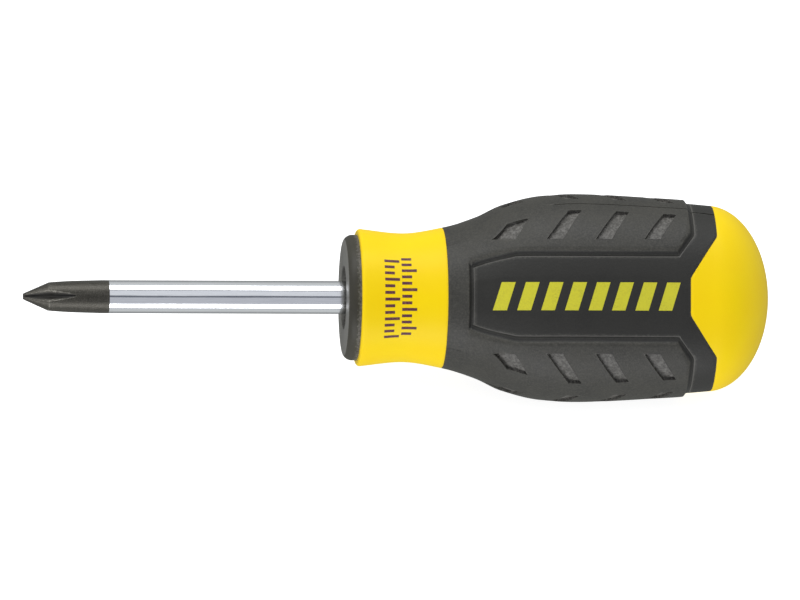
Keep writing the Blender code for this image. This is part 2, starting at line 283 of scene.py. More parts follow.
@dataclass(frozen=True)
class HandleForm:
    """The handle's outer surface: how thick it is at each place and angle, and where its lines run."""

    start: float  # front of the collar
    collar_end: float
    grip_end: float  # behind the crests
    end: float
    lip_radius: float = 9.62 * MM
    waist_radius: float = 9.03 * MM
    collar_end_radius: float = 9.85 * MM
    flare_radius: float = 11.3 * MM
    shoulder_radius: float = 12.9 * MM
    full_radius: float = 14.18 * MM
    belly_radius: float = 14.45 * MM
    heel_radius: float = 13.85 * MM
    grip_end_radius: float = 13.4 * MM
    lobe_height: float = 0.63 * MM
    lobe_rise: float = 13.0 * MM
    lip_round: float = 0.45 * MM
    dome_depth: float = 8.7 * MM
    dome_power: float = 2.03
    recess: float = 0.5 * MM
    step: float = 0.95 * MM
    groove: float = 0.12 * MM  # how much deeper the foot of the step is than the panel
    panel_half_width: float = 5.5 * MM
    panel_front_half_width: float = 3.8 * MM
    panel_behind_collar: float = 3.25 * MM
    panel_flare: float = 6.2 * MM
    panel_flare_power: float = 0.7
    pad_slant: float = 2.4 * MM
    land_fade: float = 4.0 * MM
    rim_length: float = 3.5 * MM
    tongue_reach: float = 3.95 * MM
    tongue_half_angle: float = radians(12.0)
    tongue_root_angle: float = radians(40.0)
    grip_wall: float = 1.8 * MM

    @property
    def panel_start(self) -> float:
        """Where the panels begin."""
        return self.collar_end + self.panel_behind_collar

    @property
    def pad_end(self) -> float:
        """Where the pads drop to the rim, at the crests."""
        return self.grip_end - self.rim_length

    @property
    def dome_start(self) -> float:
        """Where the cap starts to close."""
        return self.end - self.dome_depth

    @property
    def outline(self) -> list[tuple[float, float]]:
        """Places along the axis with the mean radius at each."""
        return [
            (self.start + self.lip_round, self.lip_radius),
            (self.start + 6.4 * MM, self.waist_radius),
            (self.collar_end, self.collar_end_radius),
            (self.collar_end + 4.7 * MM, self.flare_radius),
            (self.collar_end + 8.2 * MM, self.shoulder_radius),
            (self.collar_end + 13.8 * MM, self.full_radius),
            (self.collar_end + 18.3 * MM, self.belly_radius),
            (self.grip_end - 6.5 * MM, self.heel_radius),
            (self.grip_end, self.grip_end_radius),
        ]

    def mean_radius(self, x: float) -> float:
        """Radius of a smooth curve through the outline's points, which never bulges past them."""
        points = self.outline
        x = min(max(x, points[0][0]), points[-1][0])
        runs = [(r1 - r0) / (x1 - x0) for (x0, r0), (x1, r1) in zip(points, points[1:])]
        slopes = [runs[0]]
        slopes += [2 * a * b / (a + b) if a * b > 0 else 0.0 for a, b in zip(runs, runs[1:])]
        slopes.append(runs[-1])
        i = next(i for i in range(len(runs)) if x <= points[i + 1][0])
        (x0, r0), (x1, r1) = points[i], points[i + 1]
        t = (x - x0) / (x1 - x0)
        lead = (x1 - x0) * (slopes[i] * t * (1 - t) ** 2 - slopes[i + 1] * t * t * (1 - t))
        return r0 + (r1 - r0) * smooth(t) + lead

    def lobe(self, x: float, angle: float) -> float:
        """How far the section stands out, at a crest, or in, at a flat."""
        rise = smooth((x - self.collar_end) / self.lobe_rise)
        fall = 1 - smooth((x - self.pad_end) / (self.end - self.pad_end))
        return -self.lobe_height * rise * fall * cos(3 * angle)

    def skin(self, x: float, angle: float) -> float:
        """Radius of the pads and of the collar."""
        return self.mean_radius(x) + self.lobe(x, angle)

    def flat_land(self, x: float) -> float:
        """Half angle of the flat strip along the middle of a panel, which fades out before the cap."""
        return self.tongue_half_angle * (1 - smooth((x - self.pad_end) / self.land_fade + 1))

    def sunk(self, x: float, angle: float) -> float:
        """Radius of the panels, the rim and the cap."""
        land = self.flat_land(x)
        if angle < land:
            return (self.skin(x, land) - self.recess) * cos(land) / cos(angle)
        if x <= self.dome_start:
            return self.skin(x, angle) - self.recess
        share = sqrt(max(1 - ((x - self.dome_start) / self.dome_depth) ** self.dome_power, 0.0))
        return (self.mean_radius(self.dome_start) - self.recess + self.lobe(x, angle)) * share

    def sleeve(self, x: float, angle: float) -> float:
        """Radius of the surface that the grip is moulded on."""
        return self.skin(x, angle) - self.grip_wall

    def panel_edge(self, x: float) -> float:
        """Angle of a panel's edge, at the foot of its step."""
        flare = (max(x - self.panel_start, 0.0) / self.panel_flare) ** self.panel_flare_power
        width = blend(self.panel_front_half_width, self.panel_half_width, flare)
        return asin(width / self.skin(x, 0))

    def panel_step(self, x: float) -> float:
        """Angle of the top of the step beside a panel."""
        return self.panel_edge(x) + self.step / self.skin(x, 0)

    def pad_back(self, angle: float) -> float:
        """Where a pad drops to the rim: its corner beside a panel is cut back."""
        corner = self.panel_edge(self.pad_end)
        ramp = soft_ramp((angle - corner) / (self.tongue_root_angle - corner), 0.12)
        return self.pad_end - self.pad_slant * (1 - ramp)

    def cap_front(self, angle: float) -> float:
        """Where the cap begins: it runs forward under each panel in a tongue."""
        run = self.tongue_root_angle - self.tongue_half_angle
        ramp = soft_ramp((angle - self.tongue_half_angle) / run, 0.05)
        return self.grip_end - self.tongue_reach * (1 - ramp)


@dataclass(frozen=True)
class Column:
    """A line of points along the handle, on one side of a panel's middle."""

    share: float  # how far it lies across the slots, 0 at their panel end and 1 at their crest end
    angle: Callable[[float], float]  # from the panel's middle, at a place along the axis


def band(
    start: Callable[[float], float],
    end: Callable[[float], float],
    count: int,
    shares: tuple[float, float] = (0.0, 0.0),
) -> list[Column]:
    """Columns from one line up to another, without the second.

    Args:
        start: Angle of the first line at a place along the axis.
        end: Angle of the second line.
        count: How many columns.
        shares: How far across the slots the two lines lie.

    Returns:
        The columns, in order.
    """

    def column(t: float) -> Column:
        """The column a share t of the way from the first line to the second."""
        return Column(blend(*shares, t), lambda x: blend(start(x), end(x), t))

    return [column(i / count) for i in range(count)]


def fixed(angle: float) -> Callable[[float], float]:
    """A line at one angle all along the handle."""
    return lambda x: angle


def level(x: float) -> Station:
    """A ring square to the axis."""
    return lambda column: x


def slanted(near: float, far: float) -> Station:
    """A ring that leans across the slots, from near at the panels to far at the crests."""
    return lambda column: blend(near, far, column.share)


def between(first: Station, second: Station, t: float) -> Station:
    """A ring part of the way from one ring to another."""
    return lambda column: blend(first(column), second(column), t)


def ring_of(
    columns: Sequence[Column], station: Station, radius: Callable[[float, float, int], float]
) -> Ring:
    """A ring of the handle, through each column of all three panels.

    Args:
        columns: Half a panel's columns, from its middle to the crest.
        station: The ring's place on each column.
        radius: Radius from the place, the angle from the panel's middle, and the crest's number.

    Returns:
        The ring's points.
    """
    last = len(columns) - 1
    ring = []
    for third in range(3):
        for index in range(-last, last):
            column, side = columns[abs(index)], (1 if index >= 0 else -1)
            x = station(column)
            angle = column.angle(x)
            crest = third if side > 0 else (third - 1) % 3
            ring.append((x, radius(x, angle, crest), PANEL_ANGLE + third * THIRD + side * angle))
    return ring


# Node helpers and the effects that several finishes share


class Wiring:
    """Adds and links nodes of one tree."""

    def __init__(self, tree: NodeTree) -> None:
        """Keep the tree."""
        self.tree = tree

    def add(self, kind: str, /, **settings: object) -> Node:
        """Add a node.

        Args:
            kind: Its type, without the ShaderNode in front.
            settings: Properties of the node, and values of its inputs under their names in lower case.

        Returns:
            The node.
        """
        node = self.tree.nodes.new("ShaderNode" + kind)
        for key, value in settings.items():
            sockets = [s for s in node.inputs if s.enabled and s.name.lower().replace(" ", "_") == key]
            if sockets:
                self.feed(sockets[0], value)
            else:
                setattr(node, key, value)
        return node

    def feed(self, socket: NodeSocket, value: object) -> None:
        """Link a socket to an output, or set its value."""
        if isinstance(value, NodeSocket):
            self.tree.links.new(value, socket)
        else:
            socket.default_value = value

    def maths(self, operation: str, first: object, second: object = 0.0, clamp: bool = False) -> NodeSocket:
        """One sum of two values or outputs."""
        node = self.add("Math", operation=operation, use_clamp=clamp)
        self.feed(node.inputs[0], first)
        self.feed(node.inputs[1], second)
        return node.outputs[0]

    def spread(
        self, value: object, low: float, high: float, start: float = 0.0, end: float = 1.0
    ) -> NodeSocket:
        """Map a value from low..high to start..end, clamped."""
        node = self.add("MapRange", value=value, from_min=low, from_max=high, to_min=start, to_max=end)
        return node.outputs["Result"]

    def mixed(self, share: object, first: object, second: object) -> NodeSocket:
        """Mix two colours."""
        node = self.add("Mix", data_type="RGBA")
        self.feed(node.inputs[0], share)
        for socket, value in ((node.inputs[6], first), (node.inputs[7], second)):
            self.feed(socket, (*value, 1.0) if isinstance(value, tuple) else value)
        return node.outputs[2]

    def noise(self, where: NodeSocket, size: float, detail: float = 2.0, rough: float = 0.5) -> NodeSocket:
        """Even noise whose features are about size metres across."""
        node = self.add("TexNoise", vector=where, scale=1 / size, detail=detail, roughness=rough)
        return node.outputs[0]

    def stretched(self, where: NodeSocket, scale: Colour) -> NodeSocket:
        """Coordinates that a pattern sees squeezed along some axes."""
        return self.add("Mapping", vector=where, scale=scale).outputs[0]


@dataclass(frozen=True)
class Effect:
    """A node group that several finishes place with their own values."""

    name: str
    inputs: tuple[tuple[str, str, object], ...]  # name, kind of socket, first value
    outputs: tuple[str, ...]
    wire: Callable[[Wiring, dict[str, NodeSocket]], tuple[NodeSocket, ...]]

    def group(self) -> NodeTree:
        """The group, which is made the first time it is asked for."""
        made = bpy.data.node_groups.get(self.name)
        if made:
            return made
        made = bpy.data.node_groups.new(self.name, "ShaderNodeTree")
        for name, kind, value in self.inputs:
            socket = made.interface.new_socket(name, in_out="INPUT", socket_type="NodeSocket" + kind)
            if kind == "Float":
                socket.default_value = value
        for name in self.outputs:
            made.interface.new_socket(name, in_out="OUTPUT", socket_type="NodeSocketFloat")
        wiring = Wiring(made)
        entry = made.nodes.new("NodeGroupInput")
        leave = made.nodes.new("NodeGroupOutput")
        results = self.wire(wiring, {socket.name: socket for socket in entry.outputs if socket.name})
        for name, result in zip(self.outputs, results):
            made.links.new(result, leave.inputs[name])
        return made

    def place(self, wiring: Wiring, **values: object) -> dict[str, NodeSocket]:
        """Put the group in a material.

        Args:
            wiring: The material's nodes.
            values: Inputs under their names in lower case.

        Returns:
            The group's outputs by name.
        """
        node = wiring.tree.nodes.new("ShaderNodeGroup")
        node.node_tree = self.group()
        for key, value in values.items():
            wiring.feed(next(s for s in node.inputs if s.name.lower() == key), value)
        return {socket.name: socket for socket in node.outputs}


def wire_grain(nodes: Wiring, given: dict[str, NodeSocket]) -> tuple[NodeSocket, ...]:
    """Spark-eroded mould texture: small rounded pits of two sizes.

    Args:
        nodes: Wiring of the group.
        given: Its inputs.

    Returns:
        Height, and a speckle that lightens the high spots.
    """
    scale = nodes.maths("DIVIDE", 1.0, given["Size"])
    cells = nodes.add("TexVoronoi", feature="SMOOTH_F1", vector=given["Where"], scale=scale, smoothness=0.6)
    finer = nodes.maths("MULTIPLY", scale, 0.6)
    noise = nodes.add("TexNoise", vector=given["Where"], scale=finer, detail=3.0, roughness=0.6)
    height = nodes.maths("MULTIPLY_ADD", cells.outputs["Distance"], 0.6)
    nodes.feed(height.node.inputs[2], noise.outputs[0])
    speckle = nodes.spread(height, 0.65, 1.05)
    return height, speckle


def wire_patches(nodes: Wiring, given: dict[str, NodeSocket]) -> tuple[NodeSocket, ...]:
    """Soft uneven patches, as handling and moulding leave on plastic.

    Args:
        nodes: Wiring of the group.
        given: Its inputs.

    Returns:
        A value from 0 to 1 around one half.
    """
    scale = nodes.maths("DIVIDE", 1.0, given["Size"])
    noise = nodes.add("TexNoise", vector=given["Where"], scale=scale, detail=4.0, roughness=0.55)
    return (nodes.spread(noise.outputs[0], 0.3, 0.7),)


def wire_scratches(nodes: Wiring, given: dict[str, NodeSocket]) -> tuple[NodeSocket, ...]:
    """Hairline drawing marks that run along the driver's axis.

    Args:
        nodes: Wiring of the group.
        given: Its inputs.

    Returns:
        A mask of the marks, and a slow waviness.
    """
    along = nodes.stretched(given["Where"], (0.04, 1.0, 1.0))
    scale = nodes.maths("DIVIDE", 1.0, given["Size"])
    noise = nodes.add("TexNoise", vector=along, scale=scale, detail=5.0, roughness=0.7)
    marks = nodes.spread(noise.outputs[0], 0.35, 0.75)
    slow = nodes.add("TexNoise", vector=along, scale=nodes.maths("MULTIPLY", scale, 0.12), detail=1.0)
    return marks, slow.outputs[0]


def wire_wear_and_highlight(nodes: Wiring, given: dict[str, NodeSocket]) -> tuple[NodeSocket, ...]:
    """Edge marks broken up by noise: rubbed bare on some pieces, a painted highlight on others.

    Args:
        nodes: Wiring of the group.
        given: Its inputs: where, the edge mask of the mesh, and an amount.

    Returns:
        A mask of the marked spots.
    """
    noise = nodes.noise(given["Where"], 0.35 * MM, 3.0, 0.65)
    broken = nodes.maths("MULTIPLY_ADD", noise, 0.9)
    nodes.feed(broken.node.inputs[2], nodes.maths("MULTIPLY", given["Edge"], given["Amount"]))
    return (nodes.spread(broken, 0.85, 1.15),)


WHERE = ("Where", "Vector", None)
GRAIN = Effect("mould_grain", (WHERE, ("Size", "Float", 0.0002)), ("Height", "Speckle"), wire_grain)
PATCHES = Effect("soft_patches", (WHERE, ("Size", "Float", 0.006)), ("Tone",), wire_patches)
SCRATCHES = Effect("drawn_marks", (WHERE, ("Size", "Float", 0.0002)), ("Marks", "Wave"), wire_scratches)
WEAR_AND_HIGHLIGHT = Effect(
    "edge_wear",
    (WHERE, ("Edge", "Float", 0.0), ("Amount", "Float", 0.6)),
    ("Mask",),
    wire_wear_and_highlight,
)


# Finishes


@dataclass(frozen=True)
class Finish:
    """What every finish has: a name, and a surface that reads the piece's own coordinates."""

    name: str

    def start(self) -> tuple[Material, Wiring, Node, NodeSocket]:
        """Begin a material.

        Returns:
            The material, its wiring, its main shader, and the piece's coordinates.
        """
        made = bpy.data.materials.new(self.name)
        made.use_nodes = True
        wiring = Wiring(made.node_tree)
        where = wiring.add("TexCoord").outputs["Object"]
        return made, wiring, made.node_tree.nodes["Principled BSDF"], where

    @staticmethod
    def bump(nodes: Wiring, shader: Node, height: object, distance: float, strength: float = 1.0) -> None:
        """Feed a height through a Bump node into the shader's normal."""
        node = nodes.add("Bump", height=height, distance=distance, strength=strength)
        nodes.feed(shader.inputs["Normal"], node.outputs[0])


@dataclass(frozen=True)
class Chrome(Finish):
    """Bright nickel-chrome plate on a drawn bar."""

    colour: Colour = (0.84, 0.85, 0.87)
    shade: Colour = (0.74, 0.75, 0.78)
    roughness: float = 0.075

    def make(self) -> Material:
        """Build the material."""
        made, nodes, shader, where = self.start()
        drawn = SCRATCHES.place(nodes, where=where, size=0.12 * MM)
        patches = PATCHES.place(nodes, where=where, size=3.0 * MM)["Tone"]
        nodes.feed(shader.inputs["Base Color"], nodes.mixed(drawn["Marks"], self.colour, self.shade))
        shader.inputs["Metallic"].default_value = 1.0
        streaks = nodes.maths("MULTIPLY", drawn["Marks"], 0.05)
        smears = nodes.maths("MULTIPLY_ADD", patches, 0.04)
        nodes.feed(smears.node.inputs[2], nodes.maths("ADD", streaks, self.roughness))
        nodes.feed(shader.inputs["Roughness"], smears)
        height = nodes.maths("MULTIPLY_ADD", drawn["Marks"], 0.02)
        nodes.feed(height.node.inputs[2], drawn["Wave"])
        self.bump(nodes, shader, height, 0.04 * MM, 0.6)
        return made


@dataclass(frozen=True)
class Oxide(Finish):
    """Sand-blasted and blackened steel, rubbed bright along its edges."""

    colour: Colour = (0.031, 0.028, 0.021)
    bare: Colour = (0.24, 0.23, 0.20)
    roughness: float = 0.28

    def make(self) -> Material:
        """Build the material."""
        made, nodes, shader, where = self.start()
        grain = GRAIN.place(nodes, where=where, size=0.10 * MM)
        patches = PATCHES.place(nodes, where=where, size=0.9 * MM)["Tone"]
        edge = nodes.add("Attribute", attribute_name="edge").outputs["Fac"]
        wear = WEAR_AND_HIGHLIGHT.place(nodes, where=where, edge=edge, amount=0.46)["Mask"]
        flute = nodes.add("Attribute", attribute_name="flute").outputs["Fac"]
        ground = nodes.mixed(patches, self.colour, tuple(c * 1.4 for c in self.colour))
        ground = nodes.mixed(nodes.maths("MULTIPLY", grain["Speckle"], 0.22), ground, self.bare)
        shadow = tuple(c * 0.2 for c in self.colour)
        # Painted shade down the flutes' walls.
        ground = nodes.mixed(nodes.maths("MULTIPLY", flute, 0.92), ground, shadow)
        nodes.feed(shader.inputs["Base Color"], nodes.mixed(wear, ground, self.bare))
        nodes.feed(shader.inputs["Metallic"], nodes.spread(wear, 0.0, 1.0, 0.5, 0.9))
        rough = nodes.spread(patches, 0.0, 1.0, self.roughness, self.roughness + 0.12)
        nodes.feed(shader.inputs["Roughness"], rough)
        self.bump(nodes, shader, grain["Height"], 0.02 * MM, 0.6)
        return made


@dataclass(frozen=True)
class Plastic(Finish):
    """Moulded hard plastic with a faint mould texture, uneven gloss and a tint at its marked edges, which
    on the nose is a painted highlight.
    """

    colour: Colour = (0.8, 0.5, 0.0)
    shade: Colour = (0.7, 0.4, 0.0)
    roughness: float = 0.35
    specular: float = 0.5
    grain_size: float = 0.25 * MM
    grain_depth: float = 0.004 * MM
    wear_and_highlight: Colour = (0.9, 0.6, 0.02)
    wear: float = 0.5

    def make(self) -> Material:
        """Build the material."""
        made, nodes, shader, where = self.start()
        grain = GRAIN.place(nodes, where=where, size=self.grain_size)
        patches = PATCHES.place(nodes, where=where, size=7.0 * MM)["Tone"]
        edge = nodes.add("Attribute", attribute_name="edge").outputs["Fac"]
        wear = WEAR_AND_HIGHLIGHT.place(nodes, where=where, edge=edge, amount=self.wear)["Mask"]
        ground = nodes.mixed(nodes.maths("MULTIPLY", patches, 0.5), self.colour, self.shade)
        # Tint at the marked edges; on the nose this is a painted highlight.
        rubbed = nodes.mixed(nodes.maths("MULTIPLY", wear, 0.8), ground, self.wear_and_highlight)
        nodes.feed(shader.inputs["Base Color"], rubbed)
        shader.inputs["Specular IOR Level"].default_value = self.specular
        rough = nodes.spread(patches, 0.0, 1.0, self.roughness - 0.03, self.roughness + 0.05)
        nodes.feed(shader.inputs["Roughness"], rough)
        self.bump(nodes, shader, grain["Height"], self.grain_depth)
        return made


@dataclass(frozen=True)
class Rubber(Finish):
    """Soft black grip rubber: satin, finely grained, with coarser floors in the slots, painted shade at the
    foot of its steps and in its slots, and painted highlights along its step lips and rubbed rims.
    """

    colour: Colour = (0.0245, 0.0235, 0.0195)
    light: Colour = (0.064, 0.061, 0.050)
    # Colour of the dust on the slots' floors, also used for the painted highlight along the lips of the
    # steps.
    dust_and_highlight: Colour = (0.155, 0.148, 0.135)
    roughness: float = 0.5
    specular: float = 0.38

    def make(self) -> Material:
        """Build the material."""
        made, nodes, shader, where = self.start()
        fine = GRAIN.place(nodes, where=where, size=0.22 * MM)
        coarse = GRAIN.place(nodes, where=where, size=0.30 * MM)
        patches = PATCHES.place(nodes, where=where, size=4.0 * MM)["Tone"]
        floor = nodes.add("Attribute", attribute_name="floor").outputs["Fac"]
        edge = nodes.add("Attribute", attribute_name="edge").outputs["Fac"]
        wear = WEAR_AND_HIGHLIGHT.place(nodes, where=where, edge=edge, amount=0.55)["Mask"]
        sunk = nodes.add("Attribute", attribute_name="sunk").outputs["Fac"]
        ground = nodes.mixed(nodes.maths("MULTIPLY", patches, 0.45), self.colour, self.light)
        ground = nodes.mixed(nodes.maths("MULTIPLY", fine["Speckle"], 0.6), ground, self.light)
        shaded = tuple(c * 0.6 for c in self.colour)
        ground = nodes.mixed(nodes.maths("MULTIPLY", sunk, 0.85), ground, shaded)
        crease = nodes.add("Attribute", attribute_name="crease").outputs["Fac"]
        lip = nodes.add("Attribute", attribute_name="lip").outputs["Fac"]
        # Painted shade: darkens the foot of each step, the slots' walls and floors, and the parting line.
        dark = tuple(c * 0.25 for c in self.colour)
        ground = nodes.mixed(nodes.maths("MULTIPLY", crease, 0.9), ground, dark)
        # Painted highlight along the lip at the foot of each step.
        ground = nodes.mixed(nodes.maths("MULTIPLY", lip, 0.7), ground, self.dust_and_highlight)
        dust = nodes.maths("MULTIPLY", floor, nodes.spread(coarse["Speckle"], 0.0, 1.0, 0.25, 1.0))
        ground = nodes.mixed(dust, ground, self.dust_and_highlight)
        # Lighter marked edges: rubbed rims, with a painted highlight on their roundings.
        wear_and_highlight = nodes.maths("MULTIPLY", wear, 0.4)
        wear_and_highlight_colour = tuple(c * 1.6 for c in self.light)
        nodes.feed(shader.inputs["Base Color"], nodes.mixed(wear_and_highlight, ground, wear_and_highlight_colour))
        shader.inputs["Specular IOR Level"].default_value = self.specular
        rough = nodes.spread(patches, 0.0, 1.0, self.roughness - 0.04, self.roughness + 0.08)
        nodes.feed(shader.inputs["Roughness"], rough)
        height = nodes.maths("MULTIPLY_ADD", coarse["Height"], nodes.maths("MULTIPLY", floor, 1.6))
        nodes.feed(height.node.inputs[2], fine["Height"])
        self.bump(nodes, shader, height, 0.026 * MM)
        return made


@dataclass(frozen=True)
class Ink(Finish):
    """Pad-printed ink, a little thin and uneven."""

    colour: Colour = (0.5, 0.5, 0.0)
    thin: Colour = (0.4, 0.4, 0.0)
    roughness: float = 0.5

    def make(self) -> Material:
        """Build the material."""
        made, nodes, shader, where = self.start()
        grain = GRAIN.place(nodes, where=where, size=0.18 * MM)
        patches = PATCHES.place(nodes, where=where, size=1.5 * MM)["Tone"]
        cover = nodes.maths("MULTIPLY", patches, grain["Speckle"])
        nodes.feed(shader.inputs["Base Color"], nodes.mixed(cover, self.colour, self.thin))
        rough = nodes.spread(patches, 0.0, 1.0, self.roughness, self.roughness + 0.1)
        nodes.feed(shader.inputs["Roughness"], rough)
        self.bump(nodes, shader, grain["Height"], 0.008 * MM)
        return made


def mark_edges(obj: Object, angle: float, reach: int = 1, back: float = 1.0) -> None:
    """Store on a piece's points how near they are to an outer edge, as the attribute edge.

    Args:
        obj: The piece.
        angle: An edge that turns outwards by more than this many degrees counts.
        reach: How many rings of neighbours the mark fades over.
        back: Place behind which no edge counts.
    """
    bm = bmesh.new()
    bm.from_mesh(obj.data)
    values = {}
    for e in bm.edges:
        if len(e.link_faces) == 2 and e.is_convex and e.calc_face_angle(0.0) > radians(angle):
            for vert in e.verts:
                values[vert.index] = float(vert.co.x < back)
    layer = bm.verts.layers.float.new("edge")
    bm.verts.ensure_lookup_table()
    for index, value in values.items():
        bm.verts[index][layer] = value
    for _ in range(reach):
        grown = {
            v.index: max(v[layer], 0.5 * max((e.other_vert(v)[layer] for e in v.link_edges), default=0.0))
            for v in bm.verts
        }
        for vert in bm.verts:
            vert[layer] = grown[vert.index]
    bm.to_mesh(obj.data)
    bm.free()


# Sub-assemblies


@dataclass(frozen=True)
class Blade:
    """Steel bar with a cross point. The point is blackened and the shank is chromed."""

    length: float  # how far it stands out of the handle
    end: float  # its end inside the handle
    shank_radius: float = 2.32 * MM
    flat_radius: float = 0.4 * MM
    blunt_length: float = 0.45 * MM
    blunt_radius: float = 0.65 * MM
    cone_length: float = 3.55 * MM
    taper: float = 0.2 * MM
    taper_length: float = 11.0 * MM
    black_length: float = 12.0 * MM
    flute_root: float = 0.25 * MM
    flute_length: float = 8.4 * MM
    flute_half_angle: float = radians(46.0)
    flute_turn: float = radians(32.0)
    edge_round: float = 0.05 * MM
    steps: int = 96

    def profile_of_point(self) -> list[tuple[float, float]]:
        """Half outline of the blackened point, from the axis in front to the axis behind."""
        shoulder = self.shank_radius - self.taper
        points = [(0, 0), (0, self.flat_radius), (self.blunt_length, self.blunt_radius)]
        for t in stations(0.0, 1.0, 12)[1:-1]:
            x = blend(self.blunt_length, self.cone_length, t)
            points.append((x, blend(self.blunt_radius, shoulder, t)))
        points.append((self.cone_length, shoulder))
        for x in stations(self.cone_length, self.taper_length, 12)[1:]:
            t = (x - self.cone_length) / (self.taper_length - self.cone_length)
            points.append((x, blend(shoulder, self.shank_radius, t)))
        points += [(self.black_length, self.shank_radius), (self.black_length, 0)]
        return points

    def skin(self, x: float) -> float:
        """Radius of the point before the flutes are cut."""
        shoulder = self.shank_radius - self.taper
        share = (x - self.blunt_length) / (self.cone_length - self.blunt_length)
        cone = blend(self.blunt_radius, shoulder, share)
        if x < self.blunt_length:
            return blend(self.flat_radius, self.blunt_radius, x / self.blunt_length)
        if x < self.cone_length:
            return cone
        t = (x - self.cone_length) / (self.taper_length - self.cone_length)
        return blend(shoulder, self.shank_radius, t)

    def root(self, x: float) -> float:
        """How far the flutes' roots are from the axis."""
        return self.flute_root + (self.shank_radius - self.flute_root) * x / self.flute_length

    def shade_at(self, x: float, radius: float) -> float:
        """How much painted shade a flute gets: most half way down its walls, and less along its root."""
        t = (self.skin(x) - radius) / max(self.skin(x) - self.root(x), 0.1 * MM)
        return smooth(t / 0.3) * (1 - 0.6 * smooth((t - 0.7) / 0.25))

    def flutes(self) -> BMesh:
        """The four V grooves, whose roots climb from the tip's end to the bar's surface."""
        bm = bmesh.new()
        start = -self.blunt_length
        height = 2 * self.shank_radius
        half_width = height * tan(self.flute_half_angle)
        root = self.root(start)
        run = self.flute_length + 2 * self.blunt_length
        for quarter in range(4):
            corners = [(root, 0.0), (root + height, half_width), (root + height, -half_width)]
            face = bm.faces.new([bm.verts.new((start, side, up)) for up, side in corners])
            grown = bmesh.ops.extrude_face_region(bm, geom=[face], use_keep_orig=True)["geom"]
            moved = [item for item in grown if isinstance(item, BMVert)]
            bmesh.ops.translate(bm, verts=moved, vec=(run, 0, self.root(start + run) - root))
            turn = Matrix.Rotation(pi / 2 - self.flute_turn - quarter * pi / 2, 3, "X")
            bmesh.ops.rotate(bm, verts=[*face.verts, *moved], matrix=turn)
        roots = [e for e in bm.edges if self.is_root(e)]
        bmesh.ops.bevel(
            bm,
            geom=roots,
            offset=0.35 * MM,
            segments=5,
            profile=0.5,
            affect="EDGES",
            material=-1,
        )
        bmesh.ops.recalc_face_normals(bm, faces=bm.faces)
        return bm

    def is_root(self, edge: bmesh.types.BMEdge) -> bool:
        """Whether an edge of a flute cutter is its long inner edge."""
        ends = sorted(edge.verts, key=lambda v: v.co.x)
        return all(Vector(v.co.yz).length < 1.3 * self.shank_radius for v in ends) and (
            ends[1].co.x - ends[0].co.x > self.blunt_length
        )

    def make_point(self, finish: Material) -> Object:
        """The blackened cross point."""
        obj = make_object("blade_point", turned(self.profile_of_point(), self.steps))
        cut_away(obj, self.flutes())
        bm = bmesh.new()
        bm.from_mesh(obj.data)
        bmesh.ops.remove_doubles(bm, verts=bm.verts, dist=2 * MERGE)
        bmesh.ops.dissolve_limit(bm, angle_limit=radians(0.4), verts=bm.verts, edges=bm.edges)
        for x in stations(0.0, self.black_length, 32)[1:-1]:
            everything = [*bm.verts, *bm.edges, *bm.faces]
            bmesh.ops.bisect_plane(bm, geom=everything, plane_co=(x, 0, 0), plane_no=(1, 0, 0))
        ridges = [
            e
            for e in bm.edges
            if len(e.link_faces) == 2 and e.is_convex and e.calc_face_angle(0.0) > radians(25.0)
            and all(v.co.x < self.black_length - MERGE for v in e.verts)
        ]
        bmesh.ops.bevel(
            bm,
            geom=ridges,
            offset=self.edge_round,
            segments=2,
            profile=0.5,
            affect="EDGES",
            clamp_overlap=True,
            material=-1,
        )
        bmesh.ops.recalc_face_normals(bm, faces=bm.faces)
        # Painted shade in the flutes.
        flute = bm.verts.layers.float.new("flute")
        for vert in bm.verts:
            vert[flute] = self.shade_at(vert.co.x, Vector(vert.co.yz).length)
        bm.to_mesh(obj.data)
        bm.free()
        obj.data.shade_smooth()
        obj.data.set_sharp_from_angle(angle=radians(24.0))
        mark_edges(obj, 12.0, back=self.black_length - MERGE)
        return deliver(obj, finish)

    def make_shank(self, finish: Material) -> Object:
        """The chromed bar, from the point to its end inside the handle."""
        front = self.black_length
        points = [(front, 0), (front, self.shank_radius)]
        points += [(x, self.shank_radius) for x in stations(front, self.end, 16)[1:]]
        points.append((self.end, 0))
        obj = make_object("blade_shank", turned(points, self.steps), sharp=30.0)
        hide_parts("blade")
        return deliver(obj, finish)


